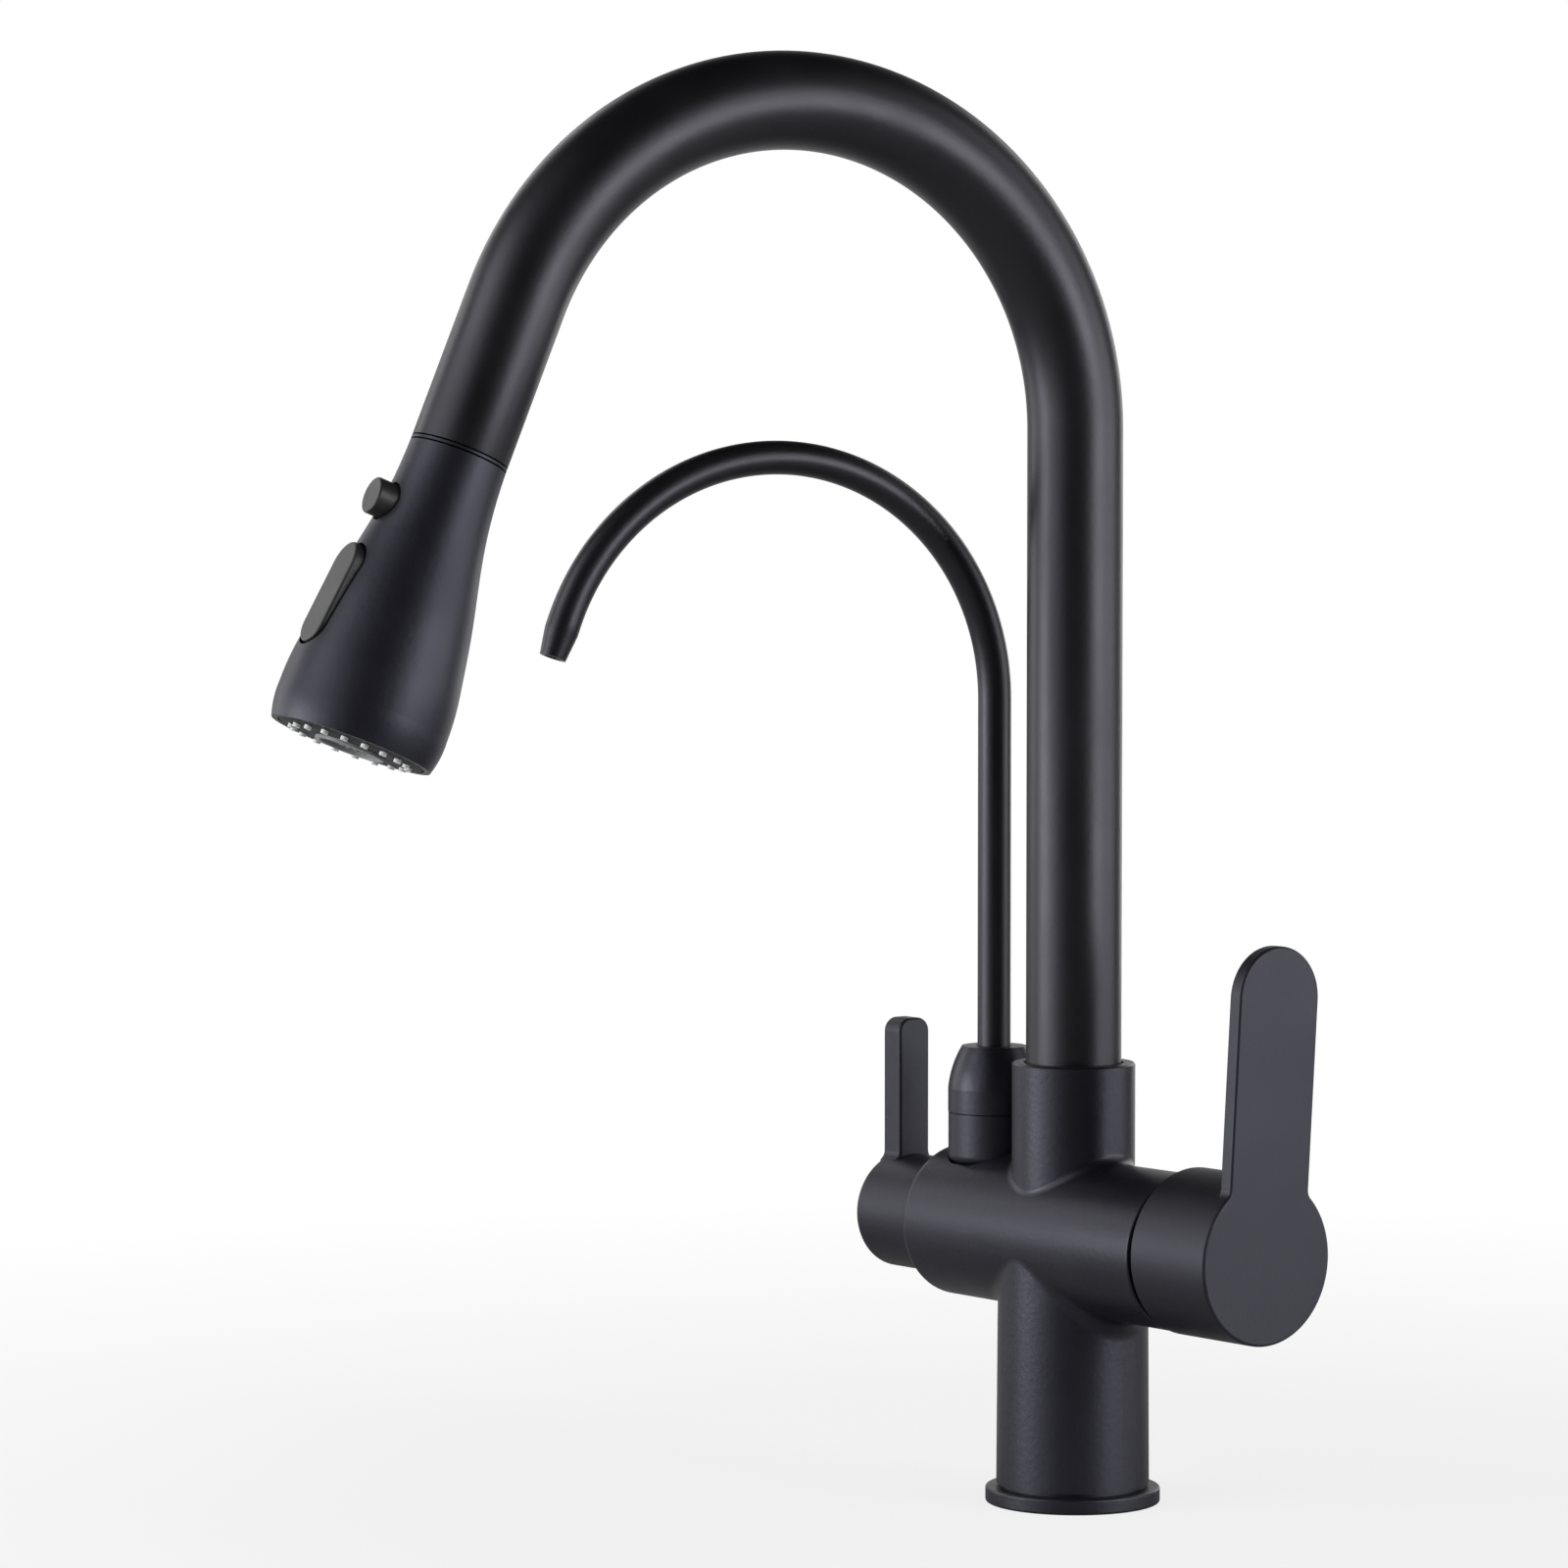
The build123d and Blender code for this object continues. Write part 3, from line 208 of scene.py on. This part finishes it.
# Plastics, rubber and ceramic: two tones, gloss, grain in waves to the metre and its depth in metres
cloudNoise = (120.0, 3.0, 0.55)
softLook = {
    "blackNylon": {"ground": (0.016, 0.016, 0.017, 1), "light": (0.026, 0.026, 0.027, 1),
                   "rough": (0.40, 0.55), "gloss": 0.5, "grain": 2400.0, "depth": 0.00003},
    "faceNylon": {"ground": (0.010, 0.010, 0.011, 1), "light": (0.016, 0.016, 0.017, 1),
                  "rough": (0.50, 0.62), "gloss": 0.2, "grain": 2400.0, "depth": 0.00003},
    "whiteAcetal": {"ground": (0.74, 0.74, 0.71, 1), "light": (0.82, 0.82, 0.80, 1),
                    "rough": (0.32, 0.45), "gloss": 0.5, "grain": 1800.0, "depth": 0.00001},
    "ceramic": {"ground": (0.84, 0.83, 0.79, 1), "light": (0.90, 0.89, 0.86, 1),
                "rough": (0.08, 0.16), "gloss": 0.5, "grain": 3800.0, "depth": 0.000003},
    "sealRubber": {"ground": (0.014, 0.014, 0.014, 1), "light": (0.024, 0.024, 0.024, 1),
                   "rough": (0.55, 0.75), "gloss": 0.4, "grain": 1500.0, "depth": 0.00003},
    "nozzleSilicone": {"ground": (0.80, 0.81, 0.82, 1), "light": (0.88, 0.89, 0.90, 1),
                       "rough": (0.30, 0.42), "gloss": 0.6, "grain": 1400.0, "depth": 0.00002},
    "aeratorGrey": {"ground": (0.20, 0.205, 0.21, 1), "light": (0.27, 0.275, 0.28, 1),
                    "rough": (0.34, 0.46), "gloss": 0.5, "grain": 1600.0, "depth": 0.00001},
}


def moulded(kind):
    look = softLook[kind]
    finish = newFinish(kind)
    where = finish.place()
    cloud = finish.noise(where, *cloudNoise)
    grain = finish.noise(where, look["grain"])
    share = finish.between(cloud * 0.6 + grain * 0.4, 0.35, 0.65)
    colour = finish.mixed(share, look["ground"], look["light"])
    rough = finish.between(grain, 0.3, 0.7, *look["rough"])
    return finish.principled(Base_Color=colour, Roughness=rough, Normal=finish.bump(grain, look["depth"]),
                             Specular_IOR_Level=look["gloss"])


# Braided sleeve of the hose, on its own UV map: once round in U, metres along in V
# dark is painted shade where strands dip under each other, bright is painted highlight on their crowns
braidLook = {"strands": 18, "pitch": 0.0042, "dark": (0.012, 0.012, 0.013, 1),
             "bright": (0.085, 0.085, 0.09, 1), "rough": (0.62, 0.42), "depth": 0.00035,
             "thread": 9.0, "threadDepth": 0.15, "threadShade": 0.25}


def braidedSleeve():
    look = braidLook
    finish = newFinish("braidedSleeve")
    chart = finish.add("ShaderNodeUVMap", {"uv_map": "along"})
    parts = finish.add("ShaderNodeSeparateXYZ", None, {"Vector": chart})
    around = parts * look["strands"]
    along = Wire(finish.tree, parts.socket.node.outputs["Y"]) * (1.0 / look["pitch"])
    left = around + along
    right = around - along
    ridge = left.maths("FRACT") - 0.5
    other = right.maths("FRACT") - 0.5
    over = ((left.maths("FLOOR") + right.maths("FLOOR")) * 0.5).maths("FRACT").maths("GREATER_THAN", 0.25)
    under = 1.0 - over  # strands one way lie over on half the squares, and under on the rest
    first = 1.0 - (ridge * 2.0).maths("ABSOLUTE") ** 2.0
    second = 1.0 - (other * 2.0).maths("ABSOLUTE") ** 2.0
    height = first * over + second * under
    threads = (left * look["thread"]).maths("FRACT") * over + (right * look["thread"]).maths("FRACT") * under
    # Painted shade and highlight: colour follows the weave's height, darker where a strand dips and lighter
    # on its crown; the thread lines across each strand are fibre texture
    paintedShadeAndFibres = finish.between(height * (1.0 - look["threadShade"]) + threads * look["threadShade"], 0.1, 1.0)
    colour = finish.mixed(paintedShadeAndFibres, look["dark"], look["bright"])
    rough = finish.between(paintedShadeAndFibres, 0.0, 1.0, *look["rough"])
    relief = finish.bump(height + threads * look["threadDepth"], look["depth"])
    return finish.principled(Base_Color=colour, Roughness=rough, Normal=relief)


finishes = {"braidedSleeve": braidedSleeve()}
for kind in coatLook:
    finishes[kind + "Coat"] = blackCoat(kind)
for kind in metalLook:
    finishes[kind] = metal(kind)
for kind in softLook:
    finishes[kind] = moulded(kind)

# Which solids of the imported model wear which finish
wornBy = {
    "castingCoat": ["valve_body", "base_flange", "filter_bell_nut", "filter_socket", "cover_dome"],
    "leverCoat": ["mixer_lever", "filter_lever", "screw_cover"],
    "headCoat": ["head_shell", "neck_ring"],
    # keyCoat's lighter ground is painted light on the button and rocker faces
    "keyCoat": ["pause_button", "mode_rocker"],
    "tubeCoat": ["filter_tip"],
    "brass": ["cartridge_nut", "filter_headwork", "filter_foot", "spout_foot", "filter_spindle",
              "lever_spindle"],
    "steel": ["spindle_pin", "lever_grub_screw", "filter_lever_screw", "keeper_screw", "hose_ferrule",
              "hose_nut", "rocker_pin"],
    "blackNylon": ["docking_guide", "diffuser", "waterway_body", "diverter_spool"],
    "faceNylon": ["spray_face"],
    "whiteAcetal": ["cartridge_base", "cartridge_housing", "swivel_carrier", "disc_driver", "filter_bush",
                    "wear_ring", "glide_ring", "check_valve"],
    "ceramic": ["fixed_ceramic_disc", "moving_ceramic_disc", "filter_fixed_disc", "filter_moving_disc"],
    "sealRubber": ["deck_gasket", "cartridge_seals", "filter_seat_seal", "filter_foot_seals", "spout_seal",
                   "hose_washer"],
    "nozzleSilicone": ["nozzle_mat"],
    "aeratorGrey": ["stream_insert", "stream_mesh"],
}
for finishName, nodes in wornBy.items():
    for name in nodes:
        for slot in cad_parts[name].material_slots:
            slot.material = finishes[finishName]
print("finishes:", len(finishes))

sharpTurn = math.radians(32.0)  # an edge that turns more than this stays crisp


def newPiece(name, bm, finish, body, nodes):
    bmesh.ops.recalc_face_normals(bm, faces=bm.faces)
    for face in bm.faces:
        face.smooth = True
    for edge in bm.edges:
        edge.smooth = edge.calc_face_angle(0.0) < sharpTurn
    mesh = bpy.data.meshes.new(name)
    bm.to_mesh(mesh)
    bm.free()
    mesh.materials.append(finishes[finish])
    piece = bpy.data.objects.new(name, mesh)
    bpy.context.scene.collection.objects.link(piece)
    if body:
        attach(piece, body)
    if nodes:
        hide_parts(*nodes)
    return piece


def newEdges(result):  # the far loop of an extrusion: edges whose two ends are both new
    verts = {item for item in result["geom"] if isinstance(item, bmesh.types.BMVert)}
    edges = [item for item in result["geom"] if isinstance(item, bmesh.types.BMEdge)]
    return [edge for edge in edges if set(edge.verts) <= verts], list(verts)


# One wall of a gooseneck: riser, bend towards +X and straight end. Gives the loops at its two ends.
def gooseneckWall(bm, radius, size):
    foot = Matrix.Translation((0, 0, size["foot"] * mm))
    circle = bmesh.ops.create_circle(bm, segments=size["sides"], radius=radius * mm, matrix=foot)
    start = list({edge for vert in circle["verts"] for edge in vert.link_edges})
    edges, verts = newEdges(bmesh.ops.extrude_edge_only(bm, edges=start))
    bmesh.ops.translate(bm, verts=verts, vec=(0, 0, (size["rise"] - size["foot"]) * mm))
    centre = (size["bend"] * mm, 0, size["rise"] * mm)
    bent = bmesh.ops.spin(bm, geom=edges + verts, cent=centre, axis=(0, 1, 0), steps=size["steps"],
                          angle=math.radians(size["sweep"]), use_duplicate=False)
    last = [item for item in bent["geom_last"] if isinstance(item, bmesh.types.BMEdge)]
    if size["end"]:
        last, verts = newEdges(bmesh.ops.extrude_edge_only(bm, edges=last))
        turn = math.radians(size["sweep"])
        ahead = Vector((math.sin(turn), 0, math.cos(turn)))
        bmesh.ops.translate(bm, verts=verts, vec=ahead * size["end"] * mm)
    return start, last


def gooseneck(bm, size):
    outer = gooseneckWall(bm, size["outer"], size)
    inner = gooseneckWall(bm, size["outer"] - size["wall"], size)
    for outerLoop, innerLoop in zip(outer, inner):
        bmesh.ops.bridge_loops(bm, edges=outerLoop + innerLoop)
    bmesh.ops.bevel(bm, geom=outer[1] + inner[1], offset=size["rim"] * mm, offset_type="OFFSET",
                    segments=3, profile=0.5, affect="EDGES", material=-1, clamp_overlap=True)
    bmesh.ops.transform(bm, matrix=size["place"], verts=bm.verts)


# Both goosenecks in millimetres and degrees, on the lines of the solids that they stand for
mainTube = {"outer": 14.0, "wall": 1.5, "foot": 112.02, "rise": 314.8, "bend": 93.0, "sweep": 157.7,
            "end": 45.4, "sides": 96, "steps": 90, "rim": 0.25,
            "place": Matrix.Rotation(math.radians(-100.6), 4, "Z")}
bm = bmesh.new()
gooseneck(bm, mainTube)
newPiece("gooseneckTube", bm, "tubeCoat", "main_spout", ["gooseneck_tube"])

slimPlace = Matrix.Translation((-36.4 * mm, 0, 0)) @ Matrix.Rotation(math.radians(-102.6), 4, "Z")
slimTube = {"outer": 4.95, "wall": 0.9, "foot": 100.9, "rise": 235.2, "bend": 71.6, "sweep": 160.0,
            "end": 3.0, "sides": 64, "steps": 90, "rim": 0.1, "place": slimPlace}
bm = bmesh.new()
gooseneck(bm, slimTube)
newPiece("slimTube", bm, "tubeCoat", "filter_spout", ["filter_tube"])
print("goosenecks bent")

# The head's own frame: Z along it, X out of the side with the button
bendTurn = math.radians(mainTube["sweep"])
endAlong = Vector((math.sin(bendTurn), 0, math.cos(bendTurn)))
endHeight = mainTube["rise"] + mainTube["bend"] * math.sin(bendTurn)
endPlace = Vector((mainTube["bend"] * (1 - math.cos(bendTurn)), 0, endHeight))
endPlace = (endPlace + endAlong * mainTube["end"]) * mm
endFrame = Matrix(((-math.cos(bendTurn), 0, endAlong.x, endPlace.x), (0, 1, 0, 0),
                   (math.sin(bendTurn), 0, endAlong.z, endPlace.z), (0, 0, 0, 1)))
headFrame = mainTube["place"] @ endFrame

# The pull-out hose: a long run that stays in the spout, a stretch that pays out, and the tail on the head
hoseSize = {"outer": 6.5, "foot": 10.6, "rise": mainTube["rise"], "bend": mainTube["bend"],
            "sweep": mainTube["sweep"], "end": 0.0, "sides": 40, "steps": 80, "place": mainTube["place"],
            "payOut": (-45.4, -39.7), "tail": (-39.7, -22.0), "travel": 0.2, "rings": 240, "tailRings": 6}


def braidMap(bm, around, alongOf):  # UV: once round in U, metres along in V
    layer = bm.loops.layers.uv.new("along")
    for face in bm.faces:
        shares = [loop.vert[around] for loop in face.loops]
        wrap = max(shares) - min(shares) > 0.5  # this face crosses the seam
        for loop, share in zip(face.loops, shares):
            loop[layer].uv = (share + 1.0 if wrap and share < 0.5 else share, alongOf(loop.vert))


def closeEnds(bm):
    bmesh.ops.holes_fill(bm, edges=[edge for edge in bm.edges if edge.is_boundary], sides=0)


bm = bmesh.new()
aroundLayer = bm.verts.layers.float.new("around")
alongLayer = bm.verts.layers.float.new("along")
gooseneckWall(bm, hoseSize["outer"], hoseSize)
for vert in bm.verts:
    x, y, z = (value / mm for value in vert.co)
    if z < hoseSize["rise"] - 0.01:  # below the bend
        side, along = x, z
    else:
        turn = math.atan2(z - hoseSize["rise"], hoseSize["bend"] - x)
        side = hoseSize["bend"] - math.hypot(z - hoseSize["rise"], hoseSize["bend"] - x)
        along = hoseSize["rise"] + turn * hoseSize["bend"]
    vert[aroundLayer] = (math.atan2(y, side) / math.tau) % 1.0
    vert[alongLayer] = along * mm
braidMap(bm, aroundLayer, lambda vert: vert[alongLayer])
closeEnds(bm)
bmesh.ops.transform(bm, matrix=hoseSize["place"], verts=bm.verts)
newPiece("hoseInSpout", bm, "braidedSleeve", "main_spout", ["pullout_hose"])
# The braid's length, counted from the deck, where the stretch that pays out begins
hoseStart = (hoseSize["rise"] + math.radians(hoseSize["sweep"]) * hoseSize["bend"]) * mm


def hoseRun(low, high, rings):  # a straight run of hose along the head's axis
    bm = bmesh.new()
    aroundLayer = bm.verts.layers.float.new("around")
    circle = bmesh.ops.create_circle(bm, segments=hoseSize["sides"], radius=hoseSize["outer"] * mm,
                                     matrix=Matrix.Translation((0, 0, low * mm)))
    for vert in circle["verts"]:
        vert[aroundLayer] = (math.atan2(vert.co.y, vert.co.x) / math.tau) % 1.0
    edges = list({edge for vert in circle["verts"] for edge in vert.link_edges})
    for ring in range(rings):
        edges, verts = newEdges(bmesh.ops.extrude_edge_only(bm, edges=edges))
        bmesh.ops.translate(bm, verts=verts, vec=(0, 0, (high - low) / rings * mm))
    return bm, aroundLayer


bm, aroundLayer = hoseRun(*hoseSize["payOut"], hoseSize["rings"])
low, high = (value * mm for value in hoseSize["payOut"])


def paidOut(vert):  # how far along the hose this ring is when the head is fully out
    share = min(max((vert.co.z - low) / (high - low), 0.0), 1.0)
    return hoseStart + vert.co.z - low + share * share * (3 - 2 * share) * hoseSize["travel"]


braidMap(bm, aroundLayer, paidOut)
closeEnds(bm)
bmesh.ops.transform(bm, matrix=headFrame, verts=bm.verts)
payOut = newPiece("hosePaidOut", bm, "braidedSleeve", None, None)
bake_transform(payOut)

bm, aroundLayer = hoseRun(*hoseSize["tail"], hoseSize["tailRings"])
braidMap(bm, aroundLayer, lambda vert: hoseStart + hoseSize["travel"] + vert.co.z - low)
closeEnds(bm)
bmesh.ops.transform(bm, matrix=headFrame, verts=bm.verts)
newPiece("hoseTail", bm, "braidedSleeve", "hose_end", ["hose_tail"])
print("hose laid")

# Return spring under the pause button. Low and high are from the head's axis, place is along it.
springSize = {"wire": 0.25, "radius": 4.3, "low": 7.35, "high": 10.85, "turns": 4, "steps": 36, "sides": 10,
              "place": 21.0, "keep": 0.42}
outFrame = headFrame @ Matrix(((0, 0, 1, 0), (0, 1, 0, 0), (1, 0, 0, springSize["place"] * mm), (0, 0, 0, 1)))
bm = bmesh.new()
stand = Matrix.Translation((springSize["radius"] * mm, 0, springSize["low"] * mm))
stand = stand @ Matrix.Rotation(math.pi / 2, 4, "X")
bmesh.ops.create_circle(bm, segments=springSize["sides"], radius=springSize["wire"] * mm, cap_ends=True,
                        matrix=stand)
steps = springSize["turns"] * springSize["steps"]
rise = (springSize["high"] - springSize["low"]) / steps * mm
bmesh.ops.spin(bm, geom=bm.faces[:] + bm.edges[:] + bm.verts[:], cent=(0, 0, 0), axis=(0, 0, 1),
               dvec=(0, 0, rise), angle=math.tau * springSize["turns"], steps=steps, use_duplicate=False)
bmesh.ops.transform(bm, matrix=outFrame, verts=bm.verts)
spring = newPiece("buttonSpring", bm, "steel", "spray_head", ["button_spring"])
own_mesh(spring)
print("spring wound")

# Camera at the photograph's angle
cameraSize = {"place": (1.28378, -1.10337, 0.2997), "towards": (-0.78908, 0.61207, -0.05217),
              "lens": 132.76, "sensor": 36.0, "farthest": 100.0}
cameraData = bpy.data.cameras.new("camera")
cameraData.lens = cameraSize["lens"]
cameraData.sensor_width = cameraSize["sensor"]
cameraData.clip_end = cameraSize["farthest"]
camera = bpy.data.objects.new("camera", cameraData)
camera.location = cameraSize["place"]
camera.rotation_euler = Vector(cameraSize["towards"]).to_track_quat("-Z", "Y").to_euler()
bpy.context.scene.collection.objects.link(camera)
bpy.context.scene.camera = camera

# Floor: a round of pale paper that keeps the object's shadow and turns plain white towards its rim.
# Near and far are metres from the middle. Past the object it's white in reflections too, as the backdrop is.
floorLook = {"radius": 0.75, "sides": 96, "pale": (0.50, 0.50, 0.50, 1), "near": 0.20, "far": 0.70,
             "share": 0.80, "behind": (0.30, 0.75), "rough": 0.5, "grain": 900.0, "depth": 0.00005}
bm = bmesh.new()
bmesh.ops.create_circle(bm, cap_ends=True, segments=floorLook["sides"], radius=floorLook["radius"])
floorMesh = bpy.data.meshes.new("floor")
bm.to_mesh(floorMesh)
bm.free()
floor = bpy.data.objects.new("floor", floorMesh)
bpy.context.scene.collection.objects.link(floor)
finish = newFinish("floorPaper")
where = finish.place()
distance = finish.add("ShaderNodeVectorMath", {"operation": "LENGTH"}, {0: where}, "Value")
depth = finish.depthAlong(where, cameraSize["towards"])
direct, glossy, through = finish.lightPaths()
seen = direct + through + glossy * finish.between(depth, *floorLook["behind"])
away = finish.between(distance, floorLook["near"], floorLook["far"], floorLook["share"], 1.0)
grain = finish.bump(finish.noise(where, floorLook["grain"]), floorLook["depth"])
sockets = {"Color": floorLook["pale"], "Roughness": floorLook["rough"], "Normal": grain}
paper = finish.add("ShaderNodeBsdfDiffuse", None, sockets)
white = finish.add("ShaderNodeEmission", None, {"Color": (1, 1, 1, 1), "Strength": 1.0})
share = away * seen.maths("MINIMUM", 1.0)
shader = finish.add("ShaderNodeMixShader", None, {0: share, 1: paper, 2: white})
floorMesh.materials.append(finish.surface(shader))

# Softboxes stand upright round the object. Side is in degrees round from the camera, negative to its left,
# wide, low and high are in metres, and level is the light that each one gives.
lampAway = 1.5
lampLook = [
    {"name": "leftLow", "side": -80.0, "wide": 0.53, "low": 0.0, "high": 0.5, "level": 12.2},
    {"name": "leftNear", "side": -60.0, "wide": 0.53, "low": 0.0, "high": 0.5, "level": 5.6},
    {"name": "leftHigh", "side": -70.0, "wide": 1.06, "low": 1.0, "high": 1.6, "level": 4.6},
    {"name": "leftBehind", "side": -120.0, "wide": 0.53, "low": 0.0, "high": 1.0, "level": 2.9},
    {"name": "leftFront", "side": -40.0, "wide": 0.53, "low": 0.0, "high": 1.6, "level": 1.5},
    {"name": "rightLow", "side": 60.0, "wide": 0.53, "low": 0.0, "high": 0.5, "level": 8.8},
    {"name": "rightHigh", "side": 60.0, "wide": 0.53, "low": 0.5, "high": 1.0, "level": 4.7},
    {"name": "rightSide", "side": 90.0, "wide": 1.06, "low": 0.0, "high": 0.5, "level": 3.5},
    {"name": "rightBehind", "side": 100.0, "wide": 0.53, "low": 0.5, "high": 1.6, "level": 1.7},
    {"name": "backLeft", "side": -150.0, "wide": 0.53, "low": 0.6, "high": 1.6, "level": 2.0},
    {"name": "backRight", "side": 150.0, "wide": 0.53, "low": 0.0, "high": 1.2, "level": 2.0},
]
cameraTurn = math.atan2(cameraSize["place"][1], cameraSize["place"][0])
middle = Vector((-0.02, -0.09, 0.0))  # of the ring of lamps, on the floor
for look in lampLook:
    turn = cameraTurn + math.radians(look["side"])
    towards = Vector((math.cos(turn), math.sin(turn), 0.0))
    tall = look["high"] - look["low"]
    lampData = bpy.data.lights.new(look["name"], "AREA")
    lampData.shape = "RECTANGLE"
    lampData.size = look["wide"]
    lampData.size_y = tall
    lampData.energy = look["level"] * math.pi * look["wide"] * tall
    lamp = bpy.data.objects.new(look["name"], lampData)
    lamp.location = middle + towards * lampAway + Vector((0, 0, look["low"] + tall / 2))
    lamp.rotation_euler = towards.to_track_quat("Z", "Y").to_euler()
    lamp.visible_camera = False
    bpy.context.scene.collection.objects.link(lamp)

# World: white where the camera looks, a backdrop behind the object for reflections, and an even fill
worldLook = {"fill": 0.20, "backdrop": 1.0, "edge": (0.75, 1.0)}
world = bpy.data.worlds.new("studio")
bpy.context.scene.world = world
finish = Finish(world)
direct, glossy, through = finish.lightPaths()
sight = finish.add("ShaderNodeTexCoord", out="Generated")
behind = finish.depthAlong(sight, cameraSize["towards"])
backdrop = finish.between(behind, *worldLook["edge"], 0.0, worldLook["backdrop"])
seen = (direct + through).maths("MINIMUM", 1.0)
rest = 1.0 - (seen + glossy).maths("MINIMUM", 1.0)
strength = seen + glossy * backdrop + rest * worldLook["fill"]
sky = finish.add("ShaderNodeBackground", None, {"Color": (1, 1, 1, 1), "Strength": strength})
output = finish.tree.nodes.new("ShaderNodeOutputWorld")
finish.tree.links.new(sky.socket, output.inputs["Surface"])
bpy.context.scene.view_settings.view_transform = "Standard"
print("stage lit")
